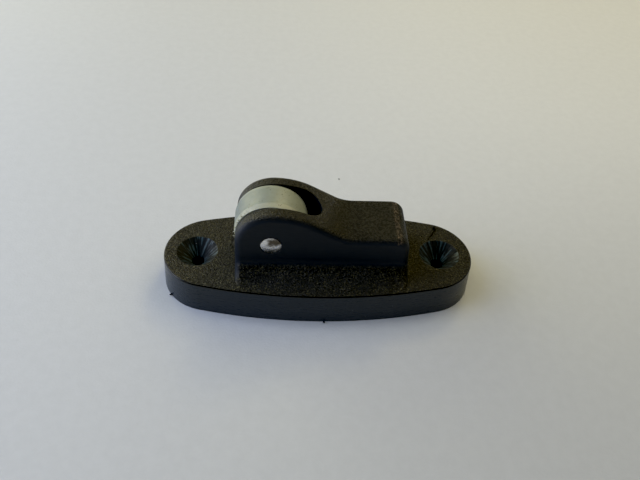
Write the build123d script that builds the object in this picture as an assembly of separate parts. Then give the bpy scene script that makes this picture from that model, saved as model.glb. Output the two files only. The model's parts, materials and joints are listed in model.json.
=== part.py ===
from build123d import *
import math
import os

# Bow roller: a one-piece moulded body with a long base plate and a humped
# housing, a plain roller between its two cheeks, and an axle pin.
# Millimetres. +Z is up, +X runs from the roller end to the tail, and the
# origin is on the mounting face, at the middle of the base plate.

# ---- base plate ----
plate_length = 77.0        # at the mounting face
plate_width = 30.0
plate_height = 8.35
plate_draft = 3.25         # degrees; the sides lean in towards the top
side_radius = 129.5        # long, gently bowed sides, tangent to the rounded ends
rim_radius = 0.35          # top edge of the plate

# ---- screw holes ----
screw_spacing = 60.0
screw_bore_radius = 1.5
sink_mouth_radius = 5.0
sink_half_angle = 45.0     # degrees, for a 90 degree countersunk head
sink_over = 0.5            # the cutting cone reaches this far above the plate

# ---- housing ----
housing_half_width = 7.55
hump_x = -11.2             # crown of the hump, over the pin
hump_top = 26.6
hump_front_radius = 9.05   # from the crown down the roller end
hump_back_radius = 18.3    # from the crown down towards the tail
hump_slope = 29.8          # degrees, the straight stretch behind the hump
dip_radius = 9.5           # hollow curve that ends in the tail deck
tail_deck = 19.85
tail_end = 21.0            # tail face, at the plate's top
tail_corner_radius = 3.45
front_draft = 0.8          # degrees, on the roller end
tail_draft = 3.7           # degrees, on the tail face
edge_radius = 1.55         # all outer edges of the housing
flare_radius = 5.2         # hollow sweep from the long walls to the plate
flare_sink = 0.04          # the sweep ends this far under the plate's top

# ---- slot for the roller, and the rope way through the plate ----
slot_half_width = 4.08
slot_back = -0.25          # rounded end behind the roller
slot_front = -30.0         # past the roller end, where the slot is open
slot_edge_radius = 0.25
slot_edge_start = 0.5      # the rounding is on edges at least this far above the plate
rope_way_front = -13.0
rope_way_lip = 0.8         # rounded edge at the mounting face

# ---- roller and pin ----
pin_x = -11.87
pin_z = 18.1
pin_radius = 2.4
pin_hole_radius = 2.4
pin_hole_mouth = 0.2       # chamfer where the pin's dome seats
pin_seat = 0.1             # the dome starts this far inside the wall
dome_height = 0.35
roller_radius = 8.67
roller_half_width = 3.85
roller_taper_length = 1.3  # shallow lead-in at both ends of the rim
roller_taper_drop = 0.3
roller_edge_radius = 0.15
roller_bore_radius = 2.46  # turns freely on the pin

inside_base = 2.0          # depth at which the housing block starts inside the plate
clear = 10.0               # how far cutting shapes reach past the body
tiny = 0.01                # slack when an edge is picked by its place
nearly_parallel = 0.99     # cosine over which an edge counts as running along X


def polar(centre_x, centre_y, radius, degrees):
    """Point at an angle, in degrees from +X, on a circle."""
    angle = math.radians(degrees)
    return (centre_x + radius * math.cos(angle), centre_y + radius * math.sin(angle))


def plate_outline():
    """Two bowed sides, tangent to the two rounded ends."""
    half_length = plate_length / 2
    half_width = plate_width / 2
    side_y = side_radius - half_width
    end_radius = (side_radius**2 - side_y**2 - half_length**2) / (2 * (side_radius - half_length))
    end_x = half_length - end_radius
    join_x, join_y = polar(end_x, 0, end_radius, math.degrees(math.atan2(side_y, end_x)))
    right_front = (join_x, -join_y)
    right_back = (join_x, join_y)
    left_back = (-join_x, join_y)
    left_front = (-join_x, -join_y)
    edges = [
        ThreePointArc(right_front, (half_length, 0), right_back),
        ThreePointArc(right_back, (0, half_width), left_back),
        ThreePointArc(left_back, (-half_length, 0), left_front),
        ThreePointArc(left_front, (0, -half_width), right_front),
    ]
    return make_face(edges)


def housing_side():
    """Side outline: the hump, the slope, the hollow and the tail deck."""
    foot = inside_base
    hump_z = hump_top - hump_front_radius
    front_start = polar(hump_x, hump_z, hump_front_radius, 180 - front_draft)
    front_mid = polar(hump_x, hump_z, hump_front_radius, 135)
    crown = (hump_x, hump_top)
    back_z = hump_top - hump_back_radius
    slope_top = polar(hump_x, back_z, hump_back_radius, 90 - hump_slope)
    back_mid = polar(hump_x, back_z, hump_back_radius, 90 - hump_slope / 2)
    dip_drop = dip_radius * (1 - math.cos(math.radians(hump_slope)))
    slope_low_z = tail_deck + dip_drop
    slope_run = (slope_top[1] - slope_low_z) / math.tan(math.radians(hump_slope))
    slope_low = (slope_top[0] + slope_run, slope_low_z)
    dip_x = slope_low[0] + dip_radius * math.sin(math.radians(hump_slope))
    dip_z = tail_deck + dip_radius
    dip_mid = polar(dip_x, dip_z, dip_radius, 270 - hump_slope / 2)
    dip_end = (dip_x, tail_deck)
    tail_z = tail_deck - tail_corner_radius
    tail_lean = math.radians(tail_draft)
    corner_reach = tail_corner_radius * math.cos(tail_lean)
    corner_low_z = tail_z + tail_corner_radius * math.sin(tail_lean)
    face_x = tail_end - (corner_low_z - plate_height) * math.tan(tail_lean)
    tail_x = face_x - corner_reach
    corner_start = (tail_x, tail_deck)
    corner_mid = polar(tail_x, tail_z, tail_corner_radius, (90 + tail_draft) / 2)
    corner_low = (face_x, corner_low_z)
    tail_foot = (tail_end + (plate_height - foot) * math.tan(tail_lean), foot)
    front_lean = math.tan(math.radians(front_draft))
    front_foot = (front_start[0] - (front_start[1] - foot) * front_lean, foot)
    edges = [
        Line(front_foot, front_start),
        ThreePointArc(front_start, front_mid, crown),
        ThreePointArc(crown, back_mid, slope_top),
        Line(slope_top, slope_low),
        ThreePointArc(slope_low, dip_mid, dip_end),
        Line(dip_end, corner_start),
        ThreePointArc(corner_start, corner_mid, corner_low),
        Line(corner_low, tail_foot),
        Line(tail_foot, front_foot),
    ]
    return make_face(edges)


def housing_end():
    """End outline: upright walls that sweep out into the plate's top."""
    flare_foot = plate_height - flare_sink
    flare_top = flare_foot + flare_radius
    flare_out = housing_half_width + flare_radius
    reach = plate_width / 2 + clear
    top = hump_top + clear
    edges = [
        Line((-housing_half_width, top), (housing_half_width, top)),
        Line((-reach, inside_base), (reach, inside_base)),
    ]
    for side in (1, -1):
        wall = side * housing_half_width
        out = side * flare_out
        mid = polar(out, flare_top, flare_radius, 270 - side * 45)
        edges += [
            Line((wall, top), (wall, flare_top)),
            ThreePointArc((wall, flare_top), mid, (out, flare_foot)),
            Line((out, flare_foot), (side * reach, flare_foot)),
            Line((side * reach, flare_foot), (side * reach, inside_base)),
        ]
    return make_face(edges)


def is_outer(edge):
    """True for the edges of the housing that are rounded, top and ends."""
    middle = edge @ 0.5
    above_plate = middle.Z > plate_height - 2 * flare_sink
    on_side = abs(middle.Y) > housing_half_width - tiny
    along_x = abs((edge % 0.5).X) > nearly_parallel
    seam = middle.Z < plate_height + flare_radius + tiny and along_x
    return above_plate and on_side and not seam


def housing_block(outline):
    """The solid housing with its rounded edges, cut off at the plate's rim."""
    side = extrude(Plane.XZ * housing_side(), plate_width, both=True)
    end = extrude(Plane.YZ * housing_end(), plate_length, both=True)
    block = side & end
    block = fillet([edge for edge in block.edges() if is_outer(edge)], edge_radius)
    rim_inset = plate_height * math.tan(math.radians(plate_draft)) + rim_radius / 2
    inside_rim = extrude(offset(outline, amount=-rim_inset), hump_top + clear)
    return block & inside_rim


def slot_shape(front, back, low, high):
    """Upright slot with a rounded back end, and a square or open front."""
    round_x = back - slot_half_width
    straight = Pos((front + round_x) / 2, 0) * Rectangle(round_x - front, 2 * slot_half_width)
    plan = straight + Pos(round_x, 0) * Circle(slot_half_width)
    return extrude(Pos(0, 0, low) * plan, high - low)


def is_slot_edge(edge):
    """True for the edges where the roller's slot opens on the housing's outside."""
    round_x = slot_back - slot_half_width
    middle = edge @ 0.5
    if middle.Z < plate_height + slot_edge_start:
        return False
    if middle.X > round_x + tiny:
        return abs(math.hypot(middle.X - round_x, middle.Y) - slot_half_width) < tiny
    upright_seam = abs(middle.X - round_x) < tiny
    return abs(abs(middle.Y) - slot_half_width) < tiny and not upright_seam


def is_rope_way_lip(edge):
    """True for the edges of the rope way in the mounting face."""
    middle = edge @ 0.5
    within_width = abs(middle.Y) < slot_half_width + tiny
    within_length = rope_way_front - tiny < middle.X < slot_back + tiny
    return within_width and within_length and abs(middle.Z) < tiny


def rope_way():
    """Hole through the plate under the back half of the roller."""
    front_x = rope_way_front + slot_half_width
    hole = slot_shape(front_x, slot_back, -clear, plate_height)
    front_end = extrude(Pos(front_x, 0, -clear) * Circle(slot_half_width), plate_height + clear)
    return hole + front_end


def screw_hole(x):
    """Plain bore with a countersink at the plate's top."""
    bore = Pos(x, 0, plate_height / 2) * Cylinder(screw_bore_radius, plate_height + clear)
    widen = math.tan(math.radians(sink_half_angle))
    wide = sink_mouth_radius + sink_over * widen
    depth = (wide - screw_bore_radius) / widen
    top = plate_height + sink_over
    cone = Pos(x, 0, top - depth / 2) * Cone(screw_bore_radius, wide, depth)
    return bore + cone


def along_y(shape):
    """Turn a shape built on +Z so that it lies along the pin's axis."""
    return Pos(pin_x, 0, pin_z) * Rot(90, 0, 0) * shape


def make_body():
    outline = plate_outline()
    plate = extrude(outline, plate_height, taper=plate_draft)
    plate = fillet(plate.faces().sort_by(Axis.Z)[-1].edges(), rim_radius)
    body = plate + housing_block(outline)
    body -= slot_shape(slot_front, slot_back, plate_height, hump_top + clear)
    body = fillet([edge for edge in body.edges() if is_slot_edge(edge)], slot_edge_radius)
    body -= rope_way()
    body = fillet([edge for edge in body.edges() if is_rope_way_lip(edge)], rope_way_lip)
    for x in (-screw_spacing / 2, screw_spacing / 2):
        body -= screw_hole(x)
    body -= along_y(Cylinder(pin_hole_radius, 4 * housing_half_width))
    for end in (1, -1):
        mouth = Cone(pin_hole_radius, pin_hole_radius + pin_hole_mouth, pin_hole_mouth)
        place = Pos(0, 0, housing_half_width - pin_hole_mouth / 2)
        body -= along_y(Rot(90 - end * 90, 0, 0) * place * mouth)
    return body


def make_roller():
    """Plain roller whose rim tapers a little towards both ends."""
    taper_start = roller_half_width - roller_taper_length
    end_radius = roller_radius - roller_taper_drop
    outline = Polyline(
        (0, -roller_half_width),
        (end_radius, -roller_half_width),
        (roller_radius, -taper_start),
        (roller_radius, taper_start),
        (end_radius, roller_half_width),
        (0, roller_half_width),
        close=True,
    )
    blank = revolve(Plane.XZ * make_face(outline), Axis.Z)
    blank = fillet(blank.edges().filter_by(GeomType.CIRCLE), roller_edge_radius)
    return along_y(blank - Cylinder(roller_bore_radius, 3 * roller_half_width))


def make_pin():
    """Straight shank with a low dome on each end."""
    shank = housing_half_width - pin_seat
    dome_sphere = (pin_radius**2 + dome_height**2) / (2 * dome_height)
    pin = Cylinder(pin_radius, 2 * (shank + dome_height))
    for end in (1, -1):
        ball = Pos(0, 0, end * (shank + dome_height - dome_sphere)) * Sphere(dome_sphere)
        half = Pos(0, 0, -end * 2 * dome_sphere) * Cylinder(pin_radius, 4 * dome_sphere)
        pin &= ball + half
    return along_y(pin)


os.makedirs("parts", exist_ok=True)
export_step(make_body(), "parts/body.step")
export_step(make_roller(), "parts/roller.step")
export_step(make_pin(), "parts/pin.step")
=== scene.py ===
import json
import math
import random

import bmesh
import bpy
from mathutils import Matrix, Vector


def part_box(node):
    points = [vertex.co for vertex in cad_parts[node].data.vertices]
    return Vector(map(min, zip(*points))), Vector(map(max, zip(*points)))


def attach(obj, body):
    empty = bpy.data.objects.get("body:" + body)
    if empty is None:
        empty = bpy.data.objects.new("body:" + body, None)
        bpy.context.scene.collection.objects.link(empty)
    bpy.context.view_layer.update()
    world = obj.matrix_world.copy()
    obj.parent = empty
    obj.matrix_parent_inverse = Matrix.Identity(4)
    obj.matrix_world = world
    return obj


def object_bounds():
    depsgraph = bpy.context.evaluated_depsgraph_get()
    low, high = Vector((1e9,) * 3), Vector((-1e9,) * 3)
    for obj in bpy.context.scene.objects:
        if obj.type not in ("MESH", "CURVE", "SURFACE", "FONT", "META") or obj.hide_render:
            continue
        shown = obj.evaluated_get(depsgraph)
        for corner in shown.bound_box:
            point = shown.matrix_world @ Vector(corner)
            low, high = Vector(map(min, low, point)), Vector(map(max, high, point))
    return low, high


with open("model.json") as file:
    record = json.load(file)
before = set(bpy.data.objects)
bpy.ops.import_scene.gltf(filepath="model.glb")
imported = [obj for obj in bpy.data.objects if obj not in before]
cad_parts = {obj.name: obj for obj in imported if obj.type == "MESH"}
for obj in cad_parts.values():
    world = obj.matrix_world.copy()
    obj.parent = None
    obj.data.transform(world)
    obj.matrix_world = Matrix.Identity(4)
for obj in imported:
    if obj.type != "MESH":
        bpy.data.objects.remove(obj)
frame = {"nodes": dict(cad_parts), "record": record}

# Looks of the bow roller. Lengths are in metres in the frame's own axes:
# +X to the tail, +Z up, and the near side of the fitting on -Y.

MM = 0.001
cad_low, cad_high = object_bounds()
roller_low, roller_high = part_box("roller")
pin_low, pin_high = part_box("pin")


# ---------------------------------------------------------------- node helpers

class Nodes:
    """Short-hand for building one material's node tree."""

    def __init__(self, name):
        self.material = bpy.data.materials.new(name)
        self.material.use_nodes = True
        self.tree = self.material.node_tree
        self.shader = self.tree.nodes["Principled BSDF"]

    def add(self, kind, **settings):
        node = self.tree.nodes.new(kind)
        for key, value in settings.items():
            setattr(node, key, value)
        return node

    def link(self, source, target):
        self.tree.links.new(source, target)

    def feed(self, socket, value):
        """Link a socket, or set a constant."""
        if hasattr(value, "is_output"):
            self.link(value, socket)
        else:
            socket.default_value = value

    def math(self, operation, first, second=0.0):
        node = self.add("ShaderNodeMath", operation=operation)
        self.feed(node.inputs[0], first)
        self.feed(node.inputs[1], second)
        return node.outputs[0]

    def ramp(self, value, low, high, low_out=0.0, high_out=1.0):
        """Smooth step from low_out to high_out as value goes from low to high."""
        node = self.add("ShaderNodeMapRange", interpolation_type="SMOOTHSTEP")
        self.feed(node.inputs["Value"], value)
        node.inputs["From Min"].default_value = low
        node.inputs["From Max"].default_value = high
        node.inputs["To Min"].default_value = low_out
        node.inputs["To Max"].default_value = high_out
        return node.outputs["Result"]

    def mix(self, factor, first, second):
        node = self.add("ShaderNodeMix", data_type="RGBA")
        self.feed(node.inputs["Factor"], factor)
        self.feed(node.inputs["A"], first)
        self.feed(node.inputs["B"], second)
        return node.outputs["Result"]

    def noise(self, size, detail=2.0, roughness=0.5, vector=None):
        """Noise whose features are about size metres across."""
        node = self.add("ShaderNodeTexNoise")
        self.link(vector or self.place(), node.inputs["Vector"])
        node.inputs["Scale"].default_value = 1 / size
        node.inputs["Detail"].default_value = detail
        node.inputs["Roughness"].default_value = roughness
        return node.outputs[0]

    def coordinates(self, kind):
        return self.add("ShaderNodeTexCoord").outputs[kind]

    def place(self):
        return self.coordinates("Object")

    def stretch(self, vector, sizes):
        """Scale a position so that one unit is the given size along each axis."""
        node = self.add("ShaderNodeVectorMath", operation="DIVIDE")
        self.link(vector, node.inputs[0])
        node.inputs[1].default_value = sizes
        return node.outputs[0]

    def join(self, first, second, third):
        node = self.add("ShaderNodeCombineXYZ")
        for socket, value in zip(node.inputs, (first, second, third)):
            self.feed(socket, value)
        return node.outputs[0]

    def both(self, first, second):
        """Product of two masks."""
        return self.math("MULTIPLY", first, second)

    def without(self, mask):
        """The rest of the surface, outside a mask."""
        return self.math("SUBTRACT", 1.0, mask)

    def distance(self, across, up):
        """Length of a flat vector."""
        squares = self.math("ADD", self.math("MULTIPLY", across, across), self.math("MULTIPLY", up, up))
        return self.math("SQRT", squares)

    def streaks(self, place, sizes, detail=3.0, roughness=0.6):
        """Noise that is stretched to its own size along each axis."""
        return self.noise(1.0, detail, roughness, self.stretch(place, sizes))

    def cells(self, size):
        """Distance to the nearest of scattered points about size metres apart."""
        node = self.add("ShaderNodeTexVoronoi")
        self.link(self.place(), node.inputs["Vector"])
        node.inputs["Scale"].default_value = 1 / size
        return node.outputs["Distance"]

    def blend(self, factor, first, second):
        node = self.add("ShaderNodeMix", data_type="FLOAT")
        self.feed(node.inputs["Factor"], factor)
        self.feed(node.inputs["A"], first)
        self.feed(node.inputs["B"], second)
        return node.outputs["Result"]

    def edge_mask(self, radius, low, high):
        """One on convex and hollow edges, where the rounded normal leaves the true one."""
        rounded = self.add("ShaderNodeBevel", samples=6)
        rounded.inputs["Radius"].default_value = radius
        plain = self.add("ShaderNodeNewGeometry").outputs["Normal"]
        apart = self.add("ShaderNodeVectorMath", operation="DISTANCE")
        self.link(rounded.outputs[0], apart.inputs[0])
        self.link(plain, apart.inputs[1])
        return self.ramp(apart.outputs["Value"], low, high)

    def split(self, vector):
        node = self.add("ShaderNodeSeparateXYZ")
        self.link(vector, node.inputs[0])
        return node.outputs

    def bump(self, height, distance, normal=None):
        node = self.add("ShaderNodeBump")
        node.inputs["Distance"].default_value = distance
        self.feed(node.inputs["Height"], height)
        if normal:
            self.link(normal, node.inputs["Normal"])
        return node.outputs["Normal"]


# ---------------------------------------------------------------- materials

plate_top = 8.35 * MM
plate_rim = 0.35 * MM        # rounding of the plate's top edge
flare_top = 13.6 * MM        # where the hollow sweep meets the housing's long walls
flare_front = -20.0 * MM
flare_back = 20.8 * MM
deck_height = 19.0 * MM      # just under the tail deck
scuff_and_highlight_start = 17.0 * MM      # band of scrapes, partly painted highlights, at the deck's end
scuff_and_highlight_end = 18.9 * MM
hole_x = frame["record"]["mounts"][0]["dims"]["spacing_x_mm"] / 2 * MM
sink_radius = 5.0 * MM
roller_end_highlight_band = 1.2 * MM   # band along the roller's ends that is painted paler as a painted highlight
pin_centre = (pin_low + pin_high) / 2
pin_radius = (pin_high.z - pin_low.z) / 2
roller_centre = (roller_low + roller_high) / 2
roller_half = (roller_high.y - roller_low.y) / 2


def sink_pattern(n, x, y):
    """Mask of the two countersinks, their radial tool streaks and ring marks."""
    from_hole = n.math("SUBTRACT", n.math("ABSOLUTE", x), hole_x)
    radius = n.distance(from_hole, y)
    angle = n.math("ARCTAN2", y, from_hole)
    side = n.math("GREATER_THAN", x, 0.0)
    soft_edge = 0.05 * MM
    mask = n.ramp(radius, sink_radius + soft_edge, sink_radius - soft_edge)
    streak_length = 4 * MM
    streaks_a_radian = 6.0
    along = n.math("DIVIDE", radius, streak_length)
    streaks = n.noise(1.0, 3.0, 0.6, n.join(n.math("MULTIPLY", angle, streaks_a_radian), along, side))
    ring_width = 0.35 * MM
    rings_a_radian = 0.4
    around = n.math("MULTIPLY", angle, rings_a_radian)
    rings = n.noise(1.0, 1.0, 0.5, n.join(n.math("DIVIDE", radius, ring_width), around, side))
    return mask, streaks, rings


def body_masks(n, x, z, up, sink):
    """Where the body is grained, where its flare ends, its rim line painted dark as a painted
    reflection, and what stands over the plate.
    """
    over_plate = n.ramp(z, plate_top - 0.1 * MM, plate_top - 0.05 * MM)
    under_wall = n.ramp(z, flare_top - 1.0 * MM, flare_top - 2.2 * MM)
    behind_front = n.ramp(x, flare_front, flare_front + 1.0 * MM)
    before_back = n.ramp(x, flare_back, flare_back - 0.9 * MM)
    flare = n.both(n.both(over_plate, under_wall), n.both(behind_front, before_back))
    # the rim line is painted dark, as a painted reflection
    rim = n.ramp(z, plate_top - plate_rim - 0.1 * MM, plate_top - plate_rim + 0.02 * MM)
    rim = n.both(rim, n.ramp(up, 0.97, 0.85))
    rim = n.both(rim, n.math("LESS_THAN", z, plate_top + 0.01 * MM))
    rim = n.both(rim, n.without(sink))
    grained = n.math("MAXIMUM", n.ramp(up, 0.38, 0.90), flare)
    grained = n.both(n.both(grained, n.without(sink)), n.without(rim))
    return grained, flare, rim, over_plate


def body_material():
    """Black nylon: spark-eroded on top, satin on the walls and the plate's sides."""
    n = Nodes("body_plastic")
    place = n.place()
    x, y, z = n.split(place)
    up = n.split(n.coordinates("Normal"))[2]
    sink, streaks, rings = sink_pattern(n, x, y)
    grained, flare, rim, over_plate = body_masks(n, x, z, up, sink)

    grain = n.noise(0.5 * MM, 3.0, 0.7)
    low_down = n.ramp(z, 18 * MM, 13 * MM, 0.2, 1.0)
    high_up = n.ramp(z, 14 * MM, 18 * MM)
    cloud = n.noise(5.0 * MM, 3.0)
    drag = n.streaks(place, (2.2 * MM, 2.2 * MM, 0.25 * MM))

    # colour: base colour with painted blue reflection and a warm painted sheen, painted glints, rubbed
    # edges with painted edge highlights, countersinks with painted reflection, dust, scrapes with
    # painted highlights and a painted dark reflection on the rim
    # wall and side colours are tinted blue as painted reflection, with the sides lighter than the
    # walls; the grain colour is warmed as a painted sheen
    wall_colour_and_blue_reflection = n.mix(cloud, (0.002, 0.006, 0.014, 1), (0.003, 0.008, 0.017, 1))
    side_colour_and_blue_reflection = n.mix(cloud, (0.012, 0.020, 0.030, 1), (0.017, 0.025, 0.035, 1))
    grain_colour_and_warm_sheen = n.mix(cloud, (0.0016, 0.0012, 0.0002, 1), (0.0026, 0.0022, 0.0006, 1))
    tint = n.mix(grained, n.mix(over_plate, side_colour_and_blue_reflection, wall_colour_and_blue_reflection), grain_colour_and_warm_sheen)
    # pale specks on the grain are painted glints
    specks = n.both(n.ramp(n.noise(0.36 * MM, 2.0, 0.6), 0.58, 0.64), low_down)
    tint = n.mix(n.both(specks, grained), tint, (0.085, 0.076, 0.034, 1))
    # rubbed edges, lightened partly as painted edge highlights
    wear_and_edge_highlight = n.both(n.edge_mask(0.45 * MM, 0.03, 0.22), n.ramp(n.noise(0.5 * MM, 3.0, 0.7), 0.50, 0.62))
    wear_and_edge_highlight = n.both(wear_and_edge_highlight, n.without(rim))
    tint = n.mix(n.math("MULTIPLY", wear_and_edge_highlight, 0.6), tint, (0.040, 0.036, 0.028, 1))
    # countersinks: blue painted reflection, with teal painted glints along the tool streaks
    tint = n.mix(sink, tint, (0.0002, 0.0022, 0.0050, 1))
    tint = n.mix(n.both(n.ramp(streaks, 0.53, 0.62), sink), tint, (0.045, 0.080, 0.092, 1))
    dust = n.both(n.ramp(n.cells(3.2 * MM), 0.05, 0.035), n.without(over_plate))
    tint = n.mix(dust, tint, (0.22, 0.22, 0.20, 1))
    # scrapes at the deck's end, lightened partly as painted highlights
    band_start = n.ramp(x, scuff_and_highlight_start, scuff_and_highlight_start + 0.5 * MM)
    band_end = n.ramp(x, scuff_and_highlight_end, scuff_and_highlight_end - 0.7 * MM)
    on_deck = n.ramp(z, deck_height - 0.5 * MM, deck_height)
    scuffs_and_highlight = n.ramp(n.streaks(place, (0.2 * MM, 0.9 * MM, 0.9 * MM), roughness=0.7), 0.50, 0.60)
    scuffs_and_highlight = n.both(n.both(scuffs_and_highlight, n.both(band_start, band_end)), on_deck)
    tint = n.mix(scuffs_and_highlight, tint, (0.15, 0.11, 0.075, 1))
    # painted dark reflection along the plate's rim
    tint = n.mix(rim, tint, (0.0004, 0.0004, 0.0005, 1))
    n.feed(n.shader.inputs["Base Color"], tint)

    # gloss: satin sides, glinting grain, the hollow that the rope polishes, streaked countersinks
    side_gloss = n.ramp(drag, 0.3, 0.7, 0.26, 0.34)
    wall_gloss = n.ramp(drag, 0.3, 0.7, 0.48, 0.56)
    rough_grain = n.ramp(grain, 0.40, 0.62, 0.78, 0.32)
    rough_grain = n.math("SUBTRACT", rough_grain, n.ramp(cloud, 0.4, 0.65, 0.0, 0.1))
    rope_polish = n.ramp(x, 3 * MM, 8 * MM, -0.12, 0.18)
    rough_grain = n.math("ADD", rough_grain, n.both(high_up, rope_polish))
    flare_ends = n.ramp(n.math("ABSOLUTE", x), 10 * MM, 17 * MM, -0.06, 0.2)
    rough_grain = n.math("ADD", rough_grain, n.both(flare, flare_ends))
    roughness = n.blend(grained, n.blend(over_plate, side_gloss, wall_gloss), rough_grain)
    roughness = n.blend(sink, roughness, n.ramp(streaks, 0.40, 0.60, 0.80, 0.42))
    roughness = n.blend(rim, roughness, 0.22)
    roughness = n.blend(n.math("MULTIPLY", wear_and_edge_highlight, 0.7), roughness, 0.5)
    n.feed(n.shader.inputs["Roughness"], roughness)
    n.shader.inputs["IOR"].default_value = 1.5
    n.shader.inputs["Specular IOR Level"].default_value = 0.42
    n.shader.inputs["Specular Tint"].default_value = (1.0, 0.97, 0.82, 1)

    relief = n.both(n.both(grain, grained), n.ramp(low_down, 0.2, 1.0, 1.0, 1.35))
    relief = n.math("ADD", relief, n.math("MULTIPLY", drag, 0.02))
    normal = n.bump(relief, 0.45 * MM)
    tooled = n.math("ADD", n.math("MULTIPLY", streaks, 1.5), n.math("MULTIPLY", rings, 0.35))
    normal = n.bump(n.both(tooled, sink), 0.16 * MM, normal=normal)
    n.link(normal, n.shader.inputs["Normal"])
    return n.material


def flash_material():
    """Loose scraps of the same black nylon, cut and matt."""
    n = Nodes("black_flash")
    fleck = n.noise(0.2 * MM, 2.0)
    tint = n.mix(fleck, (0.0003, 0.0003, 0.0004, 1), (0.002, 0.002, 0.002, 1))
    n.feed(n.shader.inputs["Base Color"], tint)
    n.feed(n.shader.inputs["Roughness"], n.ramp(fleck, 0.3, 0.7, 0.45, 0.65))
    n.shader.inputs["Specular IOR Level"].default_value = 0.1
    n.link(n.bump(fleck, 0.05 * MM), n.shader.inputs["Normal"])
    return n.material


def roller_material():
    """Natural nylon, a little see-through, with turning marks and a few dirt specks."""
    n = Nodes("roller_nylon")
    place = n.place()
    x, y = n.split(place)[:2]
    near_face = -roller_half
    # paler bands along the roller's ends are painted highlights
    near_end_highlight = n.ramp(y, near_face + roller_end_highlight_band + 0.25 * MM, near_face + roller_end_highlight_band)
    far_end_highlight = n.ramp(y, roller_half - roller_end_highlight_band - 0.2 * MM, roller_half - 0.4 * MM, 0.0, 0.35)
    ends = n.math("MAXIMUM", near_end_highlight, far_end_highlight)
    cloud = n.noise(2.2 * MM, 3.0)
    # darker towards the roller's left end
    darker_to_left = n.ramp(x, roller_centre.x + 2 * MM, roller_low.x, 0.0, 0.9)
    stain = n.ramp(n.noise(0.9 * MM, 4.0, 0.7), 0.52, 0.68, 0.0, 0.5)
    dirt = n.both(n.ramp(n.cells(0.8 * MM), 0.24, 0.14), n.ramp(n.noise(2.0 * MM, 1.0), 0.50, 0.56))
    tint = n.mix(cloud, (0.325, 0.345, 0.27, 1), (0.225, 0.245, 0.195, 1))
    tint = n.mix(darker_to_left, tint, (0.155, 0.18, 0.155, 1))
    tint = n.mix(n.math("MULTIPLY", ends, 0.6), tint, (0.48, 0.46, 0.32, 1))
    tint = n.mix(stain, tint, (0.24, 0.23, 0.155, 1))
    tint = n.mix(n.math("MULTIPLY", dirt, 0.75), tint, (0.10, 0.09, 0.06, 1))
    n.feed(n.shader.inputs["Base Color"], tint)
    n.feed(n.shader.inputs["Roughness"], n.ramp(cloud, 0.3, 0.7, 0.36, 0.52))
    n.shader.inputs["IOR"].default_value = 1.53
    n.shader.inputs["Subsurface Weight"].default_value = 0.35
    n.shader.inputs["Subsurface Radius"].default_value = (1.0, 1.0, 0.7)
    n.shader.inputs["Subsurface Scale"].default_value = 0.8 * MM
    turned = n.streaks(place, (6 * MM, 0.18 * MM, 6 * MM), detail=2.0)
    relief = n.math("ADD", n.math("MULTIPLY", turned, 0.4), n.noise(0.35 * MM, 3.0))
    n.link(n.bump(relief, 0.03 * MM), n.shader.inputs["Normal"])
    return n.material


def pin_material():
    """Stainless pin: bright dome with fine scratches, a dark brown patch over the upper middle and
    painted shade round its upper rim.
    """
    n = Nodes("pin_steel")
    place = n.place()
    x, _, z = n.split(place)
    cloud = n.noise(1.1 * MM, 4.0, 0.6)
    ragged = n.math("MULTIPLY", n.math("SUBTRACT", cloud, 0.5), 1.6 * MM)
    height = n.math("ADD", z, ragged)
    across = n.math("ADD", x, ragged)
    # dark brown patch over the upper middle of the dome
    patch_low = n.ramp(height, pin_centre.z - 0.6 * MM, pin_centre.z + 0.7 * MM)
    patch_high = n.ramp(height, pin_centre.z + 2.4 * MM, pin_centre.z + 1.5 * MM)
    patch_left = n.ramp(across, pin_centre.x - 1.6 * MM, pin_centre.x - 0.3 * MM)
    brown_patch = n.both(n.both(patch_low, patch_high), patch_left)
    from_axis = n.distance(n.math("SUBTRACT", x, pin_centre.x), n.math("SUBTRACT", z, pin_centre.z))
    # painted shade round the upper rim of the pin
    rim = n.ramp(from_axis, pin_radius - 0.25 * MM, pin_radius - 0.05 * MM)
    rim = n.both(rim, n.ramp(z, pin_centre.z, pin_centre.z + 1.2 * MM))
    tint = n.mix(cloud, (0.92, 0.91, 0.89, 1), (0.72, 0.70, 0.66, 1))
    tint = n.mix(n.math("MULTIPLY", brown_patch, 0.96), tint, (0.075, 0.06, 0.038, 1))
    tint = n.mix(rim, tint, (0.012, 0.011, 0.012, 1))
    n.feed(n.shader.inputs["Base Color"], tint)
    n.shader.inputs["Metallic"].default_value = 1.0
    scratches = n.streaks(place, (0.9 * MM, 0.9 * MM, 0.12 * MM), roughness=0.7)
    n.feed(n.shader.inputs["Roughness"], n.ramp(scratches, 0.35, 0.65, 0.20, 0.36))
    relief = n.math("ADD", n.math("MULTIPLY", scratches, 0.4), n.noise(0.5 * MM, 3.0))
    n.link(n.bump(relief, 0.03 * MM), n.shader.inputs["Normal"])
    return n.material


def dress(node, material):
    """Give a CAD node its material."""
    mesh = frame["nodes"][node].data
    mesh.materials.clear()
    mesh.materials.append(material)


# ---------------------------------------------------------------- stage

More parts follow.
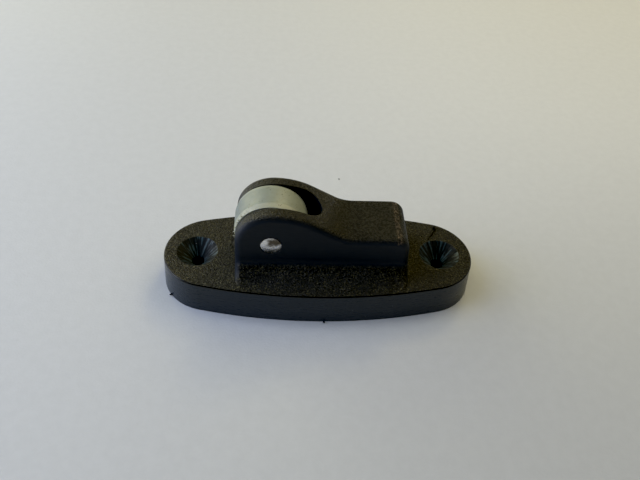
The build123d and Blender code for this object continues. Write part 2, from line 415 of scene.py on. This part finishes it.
def floor_material():
    """White table top, faintly mottled, with painted light and shade drifting a little from corner to
    corner.
    """
    n = Nodes("floor_paper")
    x, y = n.split(n.place())[:2]
    near = -60 * MM
    far = 90 * MM
    # painted light and shade: darker to the front right, lighter to the back right
    left_painted_light = n.ramp(y, near, far, 0.615, 0.60)
    right_painted_light = n.ramp(y, near, far, 0.53, 0.68)
    painted_light_and_mottle = n.blend(n.ramp(x, -70 * MM, 70 * MM), left_painted_light, right_painted_light)
    painted_light_and_mottle = n.both(painted_light_and_mottle, n.ramp(n.noise(2.6 * MM, 4.0, 0.6), 0.2, 0.8, 0.95, 0.995))
    # colour a touch bluer to the left, as painted light
    tint = n.mix(n.ramp(x, -60 * MM, 80 * MM), (0.985, 0.995, 1.02, 1), (0.98, 0.99, 1.01, 1))
    shade = n.add("ShaderNodeVectorMath", operation="MULTIPLY")
    n.link(tint, shade.inputs[0])
    n.link(n.join(painted_light_and_mottle, painted_light_and_mottle, painted_light_and_mottle), shade.inputs[1])
    n.link(shade.outputs[0], n.shader.inputs["Base Color"])
    n.shader.inputs["Roughness"].default_value = 0.8
    n.link(n.bump(n.noise(0.6 * MM, 2.0), 0.05 * MM), n.shader.inputs["Normal"])
    return n.material


def make_floor():
    """Table top, 8 m square, at the height of the mounting face."""
    half_side = 4.0
    mesh = bpy.data.meshes.new("floor")
    shape = bmesh.new()
    bmesh.ops.create_grid(shape, x_segments=1, y_segments=1, size=half_side)
    shape.to_mesh(mesh)
    shape.free()
    floor = bpy.data.objects.new("floor", mesh)
    bpy.context.scene.collection.objects.link(floor)
    floor.location.z = cad_low.z
    mesh.materials.append(floor_material())


# ---------------------------------------------------------------- small flaws

def strand(name, points, radii, material):
    """Closed tube through the points, in millimetres, with its own radius at each."""
    sides = 10
    shape = bmesh.new()
    rings = []
    places = [Vector(point) * MM for point in points]
    for index, place in enumerate(places):
        before = places[max(index - 1, 0)]
        after = places[min(index + 1, len(places) - 1)]
        along = (after - before).normalized()
        across = along.cross(Vector((0.3, 0.2, 1.0))).normalized()
        over = across.cross(along)
        ring = []
        for step in range(sides):
            turn = 2 * math.pi * step / sides
            offset = math.cos(turn) * across + math.sin(turn) * over
            ring.append(shape.verts.new(place + radii[index] * MM * offset))
        rings.append(ring)
    for near, far in zip(rings, rings[1:]):
        for step in range(sides):
            other = (step + 1) % sides
            shape.faces.new((near[step], near[other], far[other], far[step]))
    shape.faces.new(list(reversed(rings[0])))
    shape.faces.new(rings[-1])
    bmesh.ops.recalc_face_normals(shape, faces=shape.faces)
    mesh = bpy.data.meshes.new(name)
    shape.to_mesh(mesh)
    shape.free()
    for face in mesh.polygons:
        face.use_smooth = True
    mesh.materials.append(material)
    piece = bpy.data.objects.new(name, mesh)
    bpy.context.scene.collection.objects.link(piece)
    rounding = piece.modifiers.new("rounding", "SUBSURF")
    rounding.levels = 1
    rounding.render_levels = 1
    return piece


def make_whisker(material):
    """Black thread of flash that lies on the plate beside the tail-end screw hole."""
    lie = plate_top / MM
    points = [
        (30.0, 9.7, lie), (30.15, 9.5, lie + 0.22), (30.3, 9.0, lie + 0.2), (30.35, 8.4, lie + 0.12),
        (29.6, 7.9, lie + 0.1), (29.3, 7.1, lie + 0.14), (29.0, 6.5, lie + 0.1), (28.3, 6.0, lie + 0.1),
        (28.2, 5.4, lie + 0.08), (27.9, 4.9, lie - 0.02),
    ]
    radii = (0.2, 0.55, 0.28, 0.12, 0.15, 0.26, 0.12, 0.16, 0.12, 0.07)
    piece = strand("whisker", points, radii, material)
    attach(piece, "body")


def make_nub(material):
    """Scrap of flash on the foot of the plate, near the roller end."""
    points = [(-35.7, -6.7, 0.3), (-36.0, -7.1, 0.35), (-36.35, -7.45, 0.5), (-36.6, -7.55, 0.62)]
    piece = strand("nub", points, (0.3, 0.32, 0.22, 0.1), material)
    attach(piece, "body")


def make_burrs(material):
    """Short burrs on the near rim of the roller, where it was cut to length."""
    chance = random.Random(7)
    burrs = 7
    first_angle = 143
    angle_apart = 8
    taper_drop = 0.3
    rim_radius = (roller_high.z - roller_centre.z) / MM - taper_drop
    root_depth = 0.1
    inset = Vector((0, 0.15 - roller_half / MM, 0))
    for number in range(burrs):
        turn = math.radians(first_angle + angle_apart * number + chance.uniform(-3, 3))
        out = Vector((math.cos(turn), 0, math.sin(turn)))
        round_rim = Vector((-math.sin(turn), 0, math.cos(turn)))
        foot = roller_centre / MM + out * (rim_radius - root_depth) + inset
        lean = round_rim * chance.uniform(-0.3, 0.3)
        length = chance.uniform(0.45, 0.72)
        middle = foot + out * length * 0.6 + lean * 0.5
        tip = foot + out * length + lean + Vector((0, chance.uniform(-0.05, 0.1), 0))
        piece = strand("burr_%d" % number, (foot, middle, tip), (0.16, 0.12, 0.07), material)
        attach(piece, "roller")


def make_crumb(name, x, y, size, material):
    """Crumb of black plastic on the table, about twice its size long, in millimetres."""
    table = cad_low.z / MM
    points = [
        (x - size, y, table + size * 0.8),
        (x, y + 0.1, table + size),
        (x + size, y - 0.05, table + size * 0.7),
    ]
    strand(name, points, (size * 0.6, size, size * 0.5), material)


# ---------------------------------------------------------------- light and camera

def panel(name, azimuth, elevation, size, watts, colour):
    """Soft square panel half a metre away, azimuth in degrees from the back towards the right."""
    centre = Vector((0, 0, 10 * MM))
    distance = 0.5
    around = math.radians(azimuth)
    above = math.radians(elevation)
    away = Vector((
        math.sin(around) * math.cos(above),
        math.cos(around) * math.cos(above),
        math.sin(above),
    ))
    light = bpy.data.lights.new(name, "AREA")
    light.shape = "SQUARE"
    light.size = size
    light.energy = watts
    light.color = colour
    lamp = bpy.data.objects.new(name, light)
    bpy.context.scene.collection.objects.link(lamp)
    lamp.location = centre + distance * away
    lamp.rotation_euler = (-away).to_track_quat("-Z", "Y").to_euler()


def make_lights():
    """Cool window to the left, warm room light from behind, a little fill from the right."""
    wide = 0.36
    narrow = 0.10
    panel("window_low", 270, 15, wide, 1.85, (0.65, 0.70, 0.93))
    panel("window_high", 270, 45, wide, 1.1, (0.42, 0.58, 0.95))
    panel("back_low", 315, 15, wide, 1.2, (1.0, 0.96, 0.62))
    panel("room_right", 45, 45, wide, 0.7, (1.0, 0.86, 0.42))
    panel("lamp", 24, 42, narrow, 0.25, (1.0, 0.84, 0.42))
    panel("right", 90, 45, wide, 0.36, (0.72, 0.74, 0.90))
    panel("ceiling", 0, 89, wide, 0.6, (0.93, 0.92, 0.64))
    world = bpy.data.worlds.new("room_light")
    world.use_nodes = True
    background = world.node_tree.nodes["Background"]
    background.inputs["Color"].default_value = (0.9, 0.95, 1.0, 1)
    background.inputs["Strength"].default_value = 0.012
    bpy.context.scene.world = world


def make_camera():
    """A close hand-held view from the front, a little to the roller end and tilted."""
    lens = 36.63
    distance = 0.17651
    elevation = math.radians(44.56)
    azimuth = math.radians(-4.85)
    roll = math.radians(4.32)
    target = Vector((0.99, 12.87, 0)) * MM
    forward = Vector((
        -math.sin(azimuth) * math.cos(elevation),
        math.cos(azimuth) * math.cos(elevation),
        -math.sin(elevation),
    ))
    right = forward.cross(Vector((0, 0, 1))).normalized()
    up = right.cross(forward)
    rolled_right = math.cos(roll) * right + math.sin(roll) * up
    rolled_up = math.cos(roll) * up - math.sin(roll) * right
    place = target - forward * distance
    camera_data = bpy.data.cameras.new("camera")
    camera_data.sensor_width = 36.0
    camera_data.lens = lens
    camera_data.clip_start = 0.01
    camera = bpy.data.objects.new("camera", camera_data)
    bpy.context.scene.collection.objects.link(camera)
    axes = Matrix((rolled_right, rolled_up, -forward)).transposed()
    camera.matrix_world = Matrix.Translation(place) @ axes.to_4x4()
    bpy.context.scene.camera = camera


def set_view():
    """Plain colours, with the camera's slightly crushed blacks."""
    crushed = 0.006
    view = bpy.context.scene.view_settings
    view.view_transform = "Standard"
    view.use_curve_mapping = True
    view.curve_mapping.black_level = (crushed, crushed, crushed)
    view.curve_mapping.update()


make_camera()
flash = flash_material()
nylon = roller_material()
dress("body", body_material())
dress("roller", nylon)
dress("pin", pin_material())
make_whisker(flash)
make_nub(flash)
make_burrs(nylon)
make_crumb("crumb_near", 1.0, -15.45, 0.3, flash)
make_crumb("crumb_far", 7.5, 38.8, 0.2, flash)
make_floor()
make_lights()
set_view()
